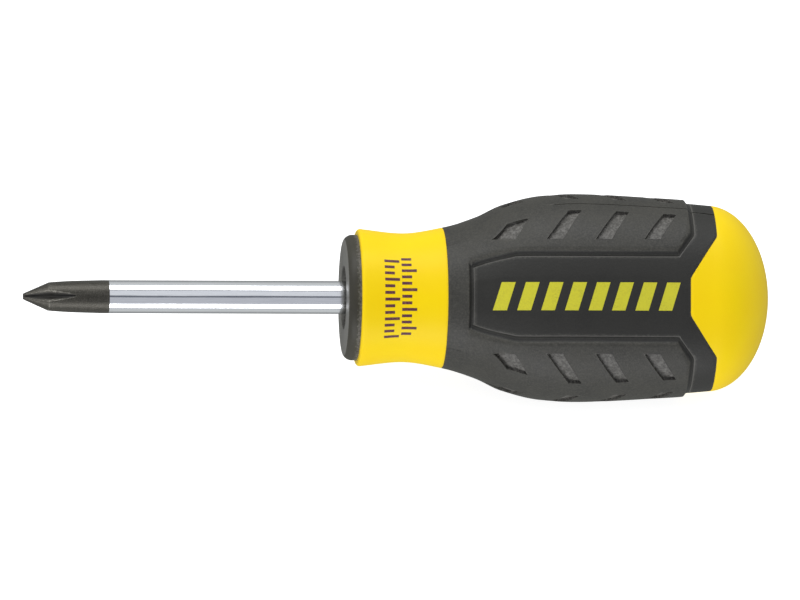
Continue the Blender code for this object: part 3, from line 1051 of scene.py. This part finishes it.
@dataclass(frozen=True)
class Core:
    """Black nose and the stem that grips the blade."""

    front: float
    back: float  # back of the nose, where the collar begins
    end: float
    bore: float
    nose_radius: float = 8.8 * MM
    nose_round: float = 1.3 * MM
    nose_edge: float = radians(155.0)  # where the rounding meets the front face
    face_round: float = 0.15 * MM
    recess_radius: float = 4.42 * MM
    recess_depth: float = 2.0 * MM
    stem_radius: float = 6.1 * MM
    steps: int = 128

    def make(self, finish: Material) -> Object:
        """The nose and stem, in one piece."""
        inner, outer = self.recess_radius, self.nose_radius
        rim = self.face_round
        points = [(self.front + 2 * self.recess_depth, 0), (self.front + 2 * self.recess_depth, self.bore)]
        points += [(self.front + self.recess_depth, self.bore)]
        points += arc(self.front + self.recess_depth - rim, inner - rim, rim, 0, pi / 2, 3)
        points += arc(self.front + rim, inner + rim, rim, -pi / 2, -pi, 4)
        turned_in = self.front - self.nose_round * cos(self.nose_edge)
        points += arc(turned_in, outer - self.nose_round, self.nose_round, self.nose_edge, pi / 2, 10)
        points += [(self.back, outer), (self.back, self.stem_radius), (self.end, self.stem_radius)]
        points.append((self.end, 0))
        bm = turned(points, self.steps)
        corner = outer - self.nose_round * (1 - sin(self.nose_edge))
        rim_edges = [
            e
            for e in bm.edges
            if all(
                v.co.x < self.front + MERGE and Vector(v.co.yz).length > corner - MERGE
                for v in e.verts
            )
        ]
        bmesh.ops.bevel(
            bm, geom=rim_edges, offset=0.12 * MM, segments=2, profile=0.5, affect="EDGES", material=-1
        )
        obj = make_object("nose", bm, sharp=40.0)
        # Marks the rounded front edge, which the nose's finish lights with a painted highlight.
        mark_edges(obj, 8.0)
        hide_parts("core")
        return deliver(obj, finish)


@dataclass(frozen=True)
class Shell:
    """Yellow collar and cap, with the sleeve between them that the grip covers."""

    form: HandleForm
    core_radius: float = 5.8 * MM
    core_end: float = 94.7 * MM
    edge_round: float = 0.1 * MM
    collar_rows: int = 36
    dome_rows: int = 28

    def columns(self) -> list[Column]:
        """Half a panel's columns."""
        form = self.form
        tongue, root = fixed(form.tongue_half_angle), fixed(form.tongue_root_angle)
        columns = band(fixed(0.0), tongue, 7) + band(tongue, root, 18) + band(root, fixed(CREST), 10)
        return [*columns, Column(0.0, fixed(CREST))]

    def make(self, finish: Material) -> Object:
        """The whole second shot."""
        form, columns = self.form, self.columns()

        def ring(station: Station, radius: Callable[[float, float], float]) -> Ring:
            """A ring on a surface of the form."""
            return ring_of(columns, station, lambda x, angle, crest: radius(x, angle))

        def flat(x: float, radius: float) -> Ring:
            """A round ring."""
            return ring(level(x), lambda place, angle: radius)

        rings = [
            flat(self.core_end, 0),
            flat(self.core_end, self.core_radius),
            flat(form.start, self.core_radius),
        ]
        lip = form.lip_round
        for turn in stations(0.0, pi / 2, 6)[:-1]:
            rings.append(flat(form.start + lip * (1 - cos(turn)), form.lip_radius - lip * (1 - sin(turn))))
        collar_end = form.collar_end - self.edge_round
        along_collar = stations(form.start + lip, collar_end, self.collar_rows)
        rings += [ring(level(x), form.skin) for x in along_collar]
        low = self.edge_round * 0.7
        rings.append(ring(level(form.collar_end), lambda x, angle: form.skin(x, angle) - low))
        rings.append(ring(level(form.collar_end), form.sleeve))
        for x in stations(form.collar_end, form.pad_end - form.tongue_reach, 12)[1:]:
            rings.append(ring(level(x), form.sleeve))

        def front(column: Column) -> float:
            """The cap's front edge."""
            return form.cap_front(column.angle(form.grip_end))

        rings.append(ring(front, form.sleeve))
        rings.append(ring(front, lambda x, angle: form.sunk(x, angle) - low))
        back = level(form.dome_start + form.dome_depth / 4)
        for t in stations(0.0, 1.0, 12):
            rings.append(ring(between(lambda c: front(c) + self.edge_round, back, t), form.sunk))
        first = asin(0.25)
        for turn in stations(first, pi / 2, self.dome_rows)[1:]:
            rings.append(ring(level(form.dome_start + form.dome_depth * sin(turn)), form.sunk))
        bm, _ = swept(rings)
        close(bm)
        obj = make_object("shell_collar_and_cap", bm, sharp=40.0)
        mark_edges(obj, 15.0)
        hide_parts("shell")
        return deliver(obj, finish)


@dataclass(frozen=True)
class SlotPlan:
    """One slanted slot of a pad, deepest at its front wall."""

    near: float  # place of the front wall at the end beside the panel
    near_width: float
    far: float  # and at the end beside the crest
    far_width: float
    depth: float = 0.6 * MM
    heel_depth: float = 0.4 * MM

    def front(self) -> Station:
        """Ring along its front wall."""
        return slanted(self.near, self.far)

    def back(self) -> Station:
        """Ring along its back wall."""
        return slanted(self.near + self.near_width, self.far + self.far_width)

    def depth_at(self, x: float, share: float) -> float:
        """Depth of its floor at a place and a share of the way from the panel end to the crest end."""
        front = blend(self.near, self.far, share)
        width = blend(self.near_width, self.far_width, share)
        return blend(self.depth, self.heel_depth, (x - front) / width)

    def shade_at(self, x: float, share: float) -> float:
        """Painted shade on its floor: black at the foot of the front wall, and a little at the back."""
        front = blend(self.near, self.far, share)
        width = blend(self.near_width, self.far_width, share)
        t = (x - front) / width
        return max(smooth(1 - t / 0.16), 0.5 * smooth((t - 0.85) / 0.12))


@dataclass(frozen=True)
class Grip:
    """Soft black grip: raised pads with slots, sunk panels, and a sunk rim round the back."""

    form: HandleForm
    slot_beside_panel: float = 2.4 * MM
    slot_beside_crest: float = 1.5 * MM
    slot_width: float = 2.5 * MM
    slot_crest_width: float = 2.05 * MM
    slot_lean: float = 3.5 * MM  # of the first full slot
    last_slot_lean: float = 3.1 * MM
    short_slot_width: float = 3.1 * MM
    short_slot_crest_width: float = 3.0 * MM
    short_slot_lean: float = 2.1 * MM
    short_slot_beside_crest: float = 2.3 * MM
    short_slot_behind_collar: float = 6.2 * MM
    first_slot_behind_collar: float = 13.4 * MM
    last_slot_before_rim: float = 1.9 * MM
    full_slots: int = 3
    wall_run: float = 0.10 * MM  # draft of a slot's walls
    edge_round: float = 0.09 * MM
    slot_rows: int = 5  # rows of faces from the front of a slot to its back
    parting_start: float = 13.9 * MM  # behind the collar
    parting_depth: float = 0.24 * MM
    parting_half_width: float = 0.10 * MM
    notch_length: float = 3.0 * MM

    def slots(self) -> list[SlotPlan]:
        """The slots on one side of a panel, from the front."""
        form = self.form
        short = form.collar_end + self.short_slot_behind_collar
        first = form.collar_end + self.first_slot_behind_collar
        last = form.pad_end - self.last_slot_before_rim - self.last_slot_lean - self.slot_crest_width
        far = short + self.short_slot_lean
        plans = [SlotPlan(short, self.short_slot_width, far, self.short_slot_crest_width)]
        for index, place in enumerate(stations(first, last, self.full_slots - 1)):
            lean = blend(self.slot_lean, self.last_slot_lean, index / (self.full_slots - 1))
            plans.append(SlotPlan(place, self.slot_width, place + lean, self.slot_crest_width))
        return plans

    def slot_near(self, x: float) -> float:
        """Angle of the slots' ends beside a panel."""
        return asin((self.form.panel_half_width + self.slot_beside_panel) / self.form.mean_radius(x))

    def slot_far(self, x: float) -> float:
        """Angle of the slots' ends beside a crest, which the short slots stay further from."""
        behind = x - self.form.collar_end
        start = self.short_slot_behind_collar + self.short_slot_lean + self.short_slot_crest_width
        t = (behind - start) / (self.first_slot_behind_collar - start)
        beside = blend(self.short_slot_beside_crest, self.slot_beside_crest, smooth(t))
        return CREST - asin(beside / self.form.mean_radius(x))

    def parting_width(self, x: float) -> float:
        """Half width of the parting line, which opens into a notch at the cap."""
        opened = smooth((x - self.form.grip_end) / self.notch_length + 1)
        return self.parting_half_width * (1 + opened)

    def parting_edge(self, x: float) -> float:
        """Angle of the parting line's edge."""
        return CREST - self.parting_width(x) / self.form.mean_radius(x)

    def columns(self) -> list[Column]:
        """Half a panel's columns, set on the lines of the panel, the slots and the parting line."""
        form = self.form
        tongue = fixed(form.tongue_half_angle)
        columns = band(fixed(0.0), tongue, 5) + band(tongue, form.panel_edge, 8)
        columns += band(form.panel_edge, form.panel_step, 8)
        columns += band(form.panel_step, self.slot_near, 3)
        columns += band(self.slot_near, self.slot_far, 14, (0.0, 1.0))
        columns += band(self.slot_far, self.parting_edge, 5, (1.0, 1.0))
        return [*columns, Column(1.0, self.parting_edge), Column(1.0, fixed(CREST))]

    def drop(self, t: float) -> float:
        """Depth across a step, from 0 on the pad to 1 on the sunk floor, dipping before it gets there."""
        dip = self.form.groove / self.form.recess
        wall = blend(0.0, 0.55, smooth(t / 0.3))
        slope = blend(0.0, 0.45 + dip, smooth((t - 0.1) / 0.68))
        rise = dip * smooth((t - 0.74) / 0.22)
        return wall + slope - rise

    def down(self, x: float, angle: float) -> float:
        """How far down the step a place lies: 0 on the pads, and 1 on the panels and the rim."""
        form = self.form
        edge, top = form.panel_edge(x), form.panel_step(x)
        side = min(max((top - angle) / (top - edge), 0.0), 1.0)
        front = min(max((x - form.panel_start) / form.step + 0.5, 0.0), 1.0)
        rim = min(max((x - form.pad_back(angle)) / form.step + 0.5, 0.0), 1.0)
        return max(min(side, front), rim)

    def depth(self, x: float, angle: float, crest: int) -> float:
        """How far the surface lies under the pads' skin, slots aside."""
        sunk = self.form.recess * self.drop(self.down(x, angle))
        if crest == 0 and angle > CREST - 1e-6:
            behind = x - self.form.collar_end - self.parting_start
            share = self.parting_width(x) / self.parting_half_width
            sunk += self.parting_depth * smooth(behind / (2 * MM)) * share
        return sunk

    def rows(self) -> tuple[list[Station], list[int]]:
        """Rings from the collar to the cap.

        Returns:
            The rings, and the number of the ring along each slot's front wall.
        """
        form = self.form
        half = form.step / 2

        def pad_back(offset: float) -> Station:
            """A ring along the pads' back edge."""
            return lambda column: form.pad_back(column.angle(form.pad_end)) + offset

        def cap_front(column: Column) -> float:
            """The ring along the cap."""
            return form.cap_front(column.angle(form.grip_end)) - self.edge_round

        keys: list[tuple[Station, int]] = [
            (level(form.collar_end + self.edge_round), 5),
            (level(form.panel_start - half), 8),
            (level(form.panel_start + half), 6),
        ]
        front_keys = []
        for plan in self.slots():
            front_keys.append(len(keys))
            keys += [(plan.front(), self.slot_rows), (plan.back(), 8)]
        keys[-1] = (keys[-1][0], 6)
        keys += [(pad_back(-half), 8), (pad_back(half), 8), (cap_front, 1)]
        rows, fronts = [], []
        for index, ((key, count), (following, _)) in enumerate(zip(keys, keys[1:])):
            if index in front_keys:
                fronts.append(len(rows))
            rows += [between(key, following, i / count) for i in range(count)]
        return [*rows, cap_front], fronts

    def make(self, finish: Material) -> Object:
        """The whole third shot."""
        form, columns = self.form, self.columns()
        rows, fronts = self.rows()

        def outer(x: float, angle: float, crest: int) -> float:
            """Radius of the outside."""
            flat = form.skin(x, angle) - form.recess - form.sunk(x, angle)
            return form.skin(x, angle) - self.depth(x, angle, crest) - flat * self.down(x, angle)

        def inner(x: float, angle: float, crest: int) -> float:
            """Radius of the inside."""
            return form.sleeve(x, angle)

        low = 0.7 * self.edge_round

        def lowered(x: float, angle: float, crest: int) -> float:
            """Radius at the rounded front and back edges."""
            return outer(x, angle, crest) - low

        front, back = level(form.collar_end), lambda column: rows[-1](column) + self.edge_round
        rings = [ring_of(columns, front, lowered)]
        rings += [ring_of(columns, row, outer) for row in rows]
        rings.append(ring_of(columns, back, lowered))
        rings.append(ring_of(columns, back, inner))
        rings += [ring_of(columns, between(front, back, t), inner) for t in stations(1.0, 0.0, 12)[1:]]
        rings.append(rings[0])
        bm, loops = swept(rings, "floor", "sunk", "crease", "lip")
        sunk, crease, lip = (bm.verts.layers.float[name] for name in ("sunk", "crease", "lip"))
        last = len(columns) - 1
        for row, loop in zip(rows, loops[1:]):
            for index, vert in enumerate(loop):
                column = columns[abs(index % (2 * last) - last)]
                x = row(column)
                angle = column.angle(x)
                t = self.down(x, angle)
                parting = index == 2 * last and x > form.collar_end + self.parting_start
                vert[sunk] = smooth((t - 0.4) / 0.4)
                # Painted shade at the foot of each step and along the parting line.
                vert[crease] = max(smooth(1 - abs(t - 0.36) / 0.3), float(parting))
                # Painted highlight along the lip where each step rises to the sunk floor.
                vert[lip] = smooth(1 - abs(t - 0.9) / 0.14) if t < 1.0 else 0.0
        patches = [
            (plan, panel, faces)
            for plan, row in zip(self.slots(), fronts)
            for panel, faces in self.slot_patches(loops, columns, row + 1)
        ]
        for plan, panel, faces in patches:
            self.sink(bm, faces, plan, panel)
        close(bm)
        obj = make_object("grip_overmould", bm, sharp=50.0)
        mark_edges(obj, 14.0)
        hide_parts("grip")
        return deliver(obj, finish)

    def slot_patches(
        self, loops: list[list[BMVert]], columns: Sequence[Column], row: int
    ) -> list[tuple[float, list[BMFace]]]:
        """Find the faces that one slot takes on both sides of all three panels.

        Args:
            loops: The grip's points, ring by ring.
            columns: Half a panel's columns.
            row: The ring along the slot's front wall.

        Returns:
            For each patch, the angle of its panel's middle and its faces.
        """
        last = len(columns) - 1
        near = next(i for i, c in enumerate(columns) if c.share > 0) - 1
        far = next(i for i, c in enumerate(columns) if c.share == 1.0)
        count = len(loops[0])
        patches = []
        for third in range(3):
            middle = third * 2 * last + last
            for side in (1, -1):
                faces = []
                for j in range(near, far):
                    a, b = (middle + side * j) % count, (middle + side * (j + 1)) % count
                    for i in range(row, row + self.slot_rows):
                        corners = {loops[i][a], loops[i][b], loops[i + 1][b], loops[i + 1][a]}
                        faces.append(next(f for f in loops[i][a].link_faces if corners == set(f.verts)))
                patches.append((PANEL_ANGLE + third * THIRD, faces))
        return patches

    def sink(self, bm: BMesh, faces: list[BMFace], plan: SlotPlan, panel: float) -> None:
        """Sink one patch of faces to a slot's floor and round its rim.

        Args:
            bm: The grip's mesh.
            faces: The patch.
            plan: The slot.
            panel: Angle of the panel's middle.
        """
        floor, crease = bm.verts.layers.float["floor"], bm.verts.layers.float["crease"]
        walls = bmesh.ops.inset_region(
            bm, faces=faces, thickness=self.wall_run, use_even_offset=True
        )["faces"]
        for vert in dict.fromkeys(v for face in faces for v in face.verts):
            radial = Vector((0, vert.co.y, vert.co.z))
            middle = at_angle(0, 1.0, panel)
            angle = radial.angle(middle)
            start, end = self.slot_near(vert.co.x), self.slot_far(vert.co.x)
            share = min(max((angle - start) / (end - start), 0.0), 1.0)
            vert.co -= radial.normalized() * plan.depth_at(vert.co.x, share)
            vert[floor] = 1.0
            # Painted shade on the slot's floor and at its crest end.
            vert[crease] = max(plan.shade_at(vert.co.x, share), smooth((share - 0.9) / 0.06))
        inside = {*walls, *faces}
        rim = [e for face in walls for e in face.edges if not all(f in inside for f in e.link_faces)]
        bmesh.ops.bevel(
            bm,
            geom=list(dict.fromkeys(rim)),
            offset=self.edge_round,
            segments=2,
            profile=0.5,
            affect="EDGES",
            miter_outer="ARC",
            clamp_overlap=True,
            material=-1,
        )


@dataclass(frozen=True)
class Marks:
    """Printed marks: plain slanted bars on a panel, and two rows of plain ticks on the collar."""

    form: HandleForm
    thickness: float = 0.02 * MM
    root: float = 0.05 * MM
    bars: int = 8
    bar_width: float = 1.9 * MM
    bar_pitch: float = 3.3 * MM
    bar_height: float = 3.9 * MM
    bar_lean: float = 1.2 * MM
    bars_start: float = 65.5 * MM
    ticks: int = 13
    tick_pitch: float = 0.92 * MM
    tick_width: float = 0.40 * MM

    def block(self, bm: BMesh, place: Place, surface: Callable[[float, float], float]) -> None:
        """Add a thin block that follows the handle's surface.

        Args:
            bm: The mesh it joins.
            place: Gives x and the angle round the axis from two shares between -0.5 and 0.5.
            surface: Radius of the surface at x and that angle.
        """
        first = len(bm.verts)
        bmesh.ops.create_cube(bm, size=1.0)
        bm.verts.ensure_lookup_table()
        edges = dict.fromkeys(e for v in bm.verts[first:] for e in v.link_edges)
        flat = [e for e in edges if abs(e.verts[0].co.z - e.verts[1].co.z) < 0.5]
        bmesh.ops.subdivide_edges(bm, edges=flat, cuts=5, use_grid_fill=True)
        bm.verts.ensure_lookup_table()
        for vert in bm.verts[first:]:
            x, angle = place(vert.co.x, vert.co.y)
            rise = self.thickness if vert.co.z > 0 else -self.root
            vert.co = at_angle(x, surface(x, angle) + rise, angle)

    def make_bars(self, finish: Material) -> Object:
        """Slanted bars on the panel that faces the front."""
        bm = bmesh.new()
        form = self.form
        for bar in range(self.bars):
            middle = self.bars_start + self.bar_width / 2 + bar * self.bar_pitch

            def place(u: float, v: float, middle: float = middle) -> tuple[float, float]:
                """Place on the bar."""
                x = middle + u * self.bar_width + v * self.bar_lean
                return x, PANEL_ANGLE + v * self.bar_height / form.sunk(x, 0)

            self.block(bm, place, lambda x, angle: form.sunk(x, abs(angle - PANEL_ANGLE)))
        bmesh.ops.recalc_face_normals(bm, faces=bm.faces)
        return deliver(make_object("panel_bars", bm, sharp=30.0), finish)

    def make_ticks(self, finish: Material) -> Object:
        """Two rows of ticks round the collar."""
        bm = bmesh.new()
        form = self.form
        for row, (start, offset) in enumerate(((50.0 * MM, -0.4 * MM), (52.4 * MM, 0.0))):
            for tick in range(self.ticks):
                length = (2.1 if tick % 3 == row else 1.4) * MM
                across = (tick - (self.ticks - 1) / 2) * self.tick_pitch + offset

                def place(
                    u: float,
                    v: float,
                    across: float = across,
                    length: float = length,
                    start: float = start,
                ) -> tuple[float, float]:
                    """Place on the tick."""
                    x = start + (u + 0.5) * length
                    return x, PANEL_ANGLE + (across + v * self.tick_width) / form.waist_radius

                self.block(bm, place, lambda x, angle: form.skin(x, 0))
        bmesh.ops.recalc_face_normals(bm, faces=bm.faces)
        return deliver(make_object("collar_ticks", bm, sharp=30.0), finish)


# Studio


@dataclass(frozen=True)
class Softbox:
    """A long area light beside the driver, turned to face its axis."""

    name: str
    turn: float  # degrees round the driver's axis from the camera, upwards
    height: float
    power: float
    colour: Colour = (1.0, 1.0, 1.0)
    length: float = 0.9
    distance: float = 0.6
    along: float = -0.18


@dataclass(frozen=True)
class Room:
    """Colours of the room that the driver mirrors."""

    front_high: Colour
    front_low: Colour
    behind: Colour
    far: Colour  # straight behind the driver
    strip: Colour  # a dark gap level with the camera
    seam: Colour  # a narrower gap below the upper softbox
    dim: float  # how much is left of the light at the cap's end of the room


@dataclass(frozen=True)
class Studio:
    """Pale floor, soft lights and the camera."""

    target: Vector
    floor_height: float
    yaw: float = radians(5.6)
    elevation: float = radians(28.7)
    roll: float = radians(0.2)
    view_width: float = 0.112
    lens: float = 1000.0
    sensor: float = 36.0

    def axes(self) -> tuple[Vector, Vector, Vector]:
        """The view's right, up and backward directions, before the roll."""
        back = Vector(
            (-sin(self.yaw), -cos(self.yaw) * cos(self.elevation), cos(self.yaw) * sin(self.elevation))
        )
        right = (Vector((1, 0, 0)) - back * back.x).normalized()
        return right, back.cross(right), back

    def make_camera(self) -> None:
        """Camera at the angle of the view."""
        right, up, back = self.axes()
        rolled = right * cos(self.roll) + up * sin(self.roll)
        data = bpy.data.cameras.new("camera")
        data.lens, data.sensor_width = self.lens, self.sensor
        camera = bpy.data.objects.new("camera", data)
        bpy.context.scene.collection.objects.link(camera)
        turn = Matrix((rolled, back.cross(rolled), back)).transposed().to_4x4()
        middle = self.target - up * (0.32 * MM)
        place = middle + back * self.view_width * self.lens / self.sensor
        camera.matrix_world = Matrix.Translation(place) @ turn
        bpy.context.scene.camera = camera

    def make_softbox(self, box: Softbox) -> None:
        """Hang one softbox."""
        _, up, back = self.axes()
        away = back * cos(radians(box.turn)) + up * sin(radians(box.turn))
        data = bpy.data.lights.new(box.name, "AREA")
        data.shape = "RECTANGLE"
        data.size, data.size_y = box.length, box.height
        data.energy, data.color = box.power, box.colour
        light = bpy.data.objects.new(box.name, data)
        bpy.context.scene.collection.objects.link(light)
        light.visible_camera = False
        along = Vector((1, 0, 0))
        side = away.cross(along).normalized()
        turn = Matrix((side.cross(away), side, away)).transposed().to_4x4()
        place = self.target + along * box.along + away * box.distance
        light.matrix_world = Matrix.Translation(place) @ turn

    def make_floor(self) -> None:
        """A plain pale floor that glows evenly, so that it stays clean under the driver."""
        bm = bmesh.new()
        bmesh.ops.create_grid(bm, x_segments=1, y_segments=1, size=30.0)
        bmesh.ops.translate(bm, verts=bm.verts, vec=(0, 0, self.floor_height))
        floor = make_object("floor", bm)
        floor.visible_shadow = floor.visible_glossy = floor.visible_diffuse = False
        made = bpy.data.materials.new("pale_floor")
        made.use_nodes = True
        shader = made.node_tree.nodes["Principled BSDF"]
        shader.inputs["Base Color"].default_value = (0.5, 0.5, 0.5, 1.0)
        shader.inputs["Roughness"].default_value = 1.0
        shader.inputs["Specular IOR Level"].default_value = 0.0
        shader.inputs["Emission Color"].default_value = (1.0, 1.0, 1.0, 1.0)
        shader.inputs["Emission Strength"].default_value = 0.92
        floor.data.materials.append(made)
        floor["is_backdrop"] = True

    def make_room(self, room: Room) -> None:
        """Surround the driver with a soft grey room that is darker behind the camera.

        Args:
            room: Its colours.
        """
        world = bpy.data.worlds.new("room")
        world.use_nodes = True
        nodes = Wiring(world.node_tree)
        _, up, back = self.axes()
        where = nodes.add("TexCoord").outputs["Generated"]

        def along(direction: Vector) -> NodeSocket:
            """How far a line of sight points along a direction."""
            node = nodes.add("VectorMath", operation="DOT_PRODUCT")
            nodes.feed(node.inputs[0], where)
            nodes.feed(node.inputs[1], tuple(direction))
            return node.outputs["Value"]

        def gap(height: float, half_width: float) -> NodeSocket:
            """Mask of a dark gap in front, at a height along the view's up direction."""
            distance = nodes.maths("ABSOLUTE", nodes.maths("SUBTRACT", along(up), height))
            facing = nodes.spread(along(back), 0.2, 0.4)
            band = nodes.spread(distance, 1.4 * half_width, 0.6 * half_width)
            return nodes.maths("MULTIPLY", band, facing)

        front = nodes.mixed(nodes.spread(along(up), -0.15, 0.15), room.front_low, room.front_high)
        behind = nodes.mixed(nodes.spread(along(back), -0.4, -0.8), room.behind, room.far)
        colour = nodes.mixed(nodes.spread(along(back), -0.15, 0.1), behind, front)
        colour = nodes.mixed(gap(0.05, 0.10), colour, room.strip)
        colour = nodes.mixed(gap(0.71, 0.03), colour, room.seam)
        background = world.node_tree.nodes["Background"]
        nodes.feed(background.inputs["Color"], colour)
        strength = nodes.spread(along(Vector((1, 0, 0))), 0.15, 0.9, 1.0, room.dim)
        nodes.feed(background.inputs["Strength"], strength)
        bpy.context.scene.world = world
        bpy.context.scene.view_settings.view_transform = "Standard"


def main() -> None:
    """Build the driver piece by piece, then the studio round it."""
    cad_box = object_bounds()
    gap = 0.3 * MM
    blade_box, core_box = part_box("blade"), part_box("core")
    shell_box, grip_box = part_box("shell"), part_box("grip")
    form = HandleForm(
        start=shell_box[0][0],
        collar_end=grip_box[0][0] - gap,
        grip_end=grip_box[1][0] + gap,
        end=shell_box[1][0],
    )

    blade = Blade(length=core_box[0][0], end=blade_box[1][0])
    blade.make_point(Oxide("blackened_steel").make())
    blade.make_shank(Chrome("chrome_plate").make())
    # The nose's edge colour and its amount paint a highlight along its rounded front edge.
    nose = Plastic(
        "nose_plastic",
        colour=(0.030, 0.028, 0.021),
        shade=(0.066, 0.060, 0.042),
        wear_and_highlight=(0.19, 0.185, 0.165),
        wear=0.75,
        roughness=0.42,
        specular=0.28,
        grain_size=0.18 * MM,
        grain_depth=0.006 * MM,
    )
    Core(
        front=core_box[0][0], back=form.start + gap, end=core_box[1][0], bore=blade.shank_radius
    ).make(nose.make())
    yellow = Plastic(
        "yellow_plastic",
        colour=(0.98, 0.705, 0.0),
        shade=(0.97, 0.635, 0.0),
        roughness=0.42,
        specular=0.2,
    )
    Shell(form).make(yellow.make())
    Grip(form).make(Rubber("soft_rubber").make())
    marks = Marks(form)
    marks.make_bars(Ink("panel_ink", colour=(0.62, 0.58, 0.02), thin=(0.5, 0.46, 0.02)).make())
    marks.make_ticks(Ink("collar_ink", colour=(0.08, 0.01, 0.03), thin=(0.2, 0.08, 0.06)).make())

    studio = Studio(target=Vector((0.05296, 0, 0)), floor_height=cad_box[0][2])
    studio.make_camera()
    studio.make_floor()
    studio.make_room(
        Room(
            front_high=(0.76, 0.78, 0.82),
            front_low=(0.54, 0.555, 0.60),
            behind=(0.64, 0.66, 0.66),
            far=(0.30, 0.31, 0.31),
            strip=(0.13, 0.14, 0.17),
            seam=(0.40, 0.41, 0.44),
            dim=0.99,
        )
    )
    for box in (
        Softbox("upper_softbox", turn=68.0, height=0.37, power=2.65),
        Softbox("lower_softbox", turn=-67.0, height=0.35, power=2.65),
    ):
        studio.make_softbox(box)


if __name__ == "__main__":
    main()
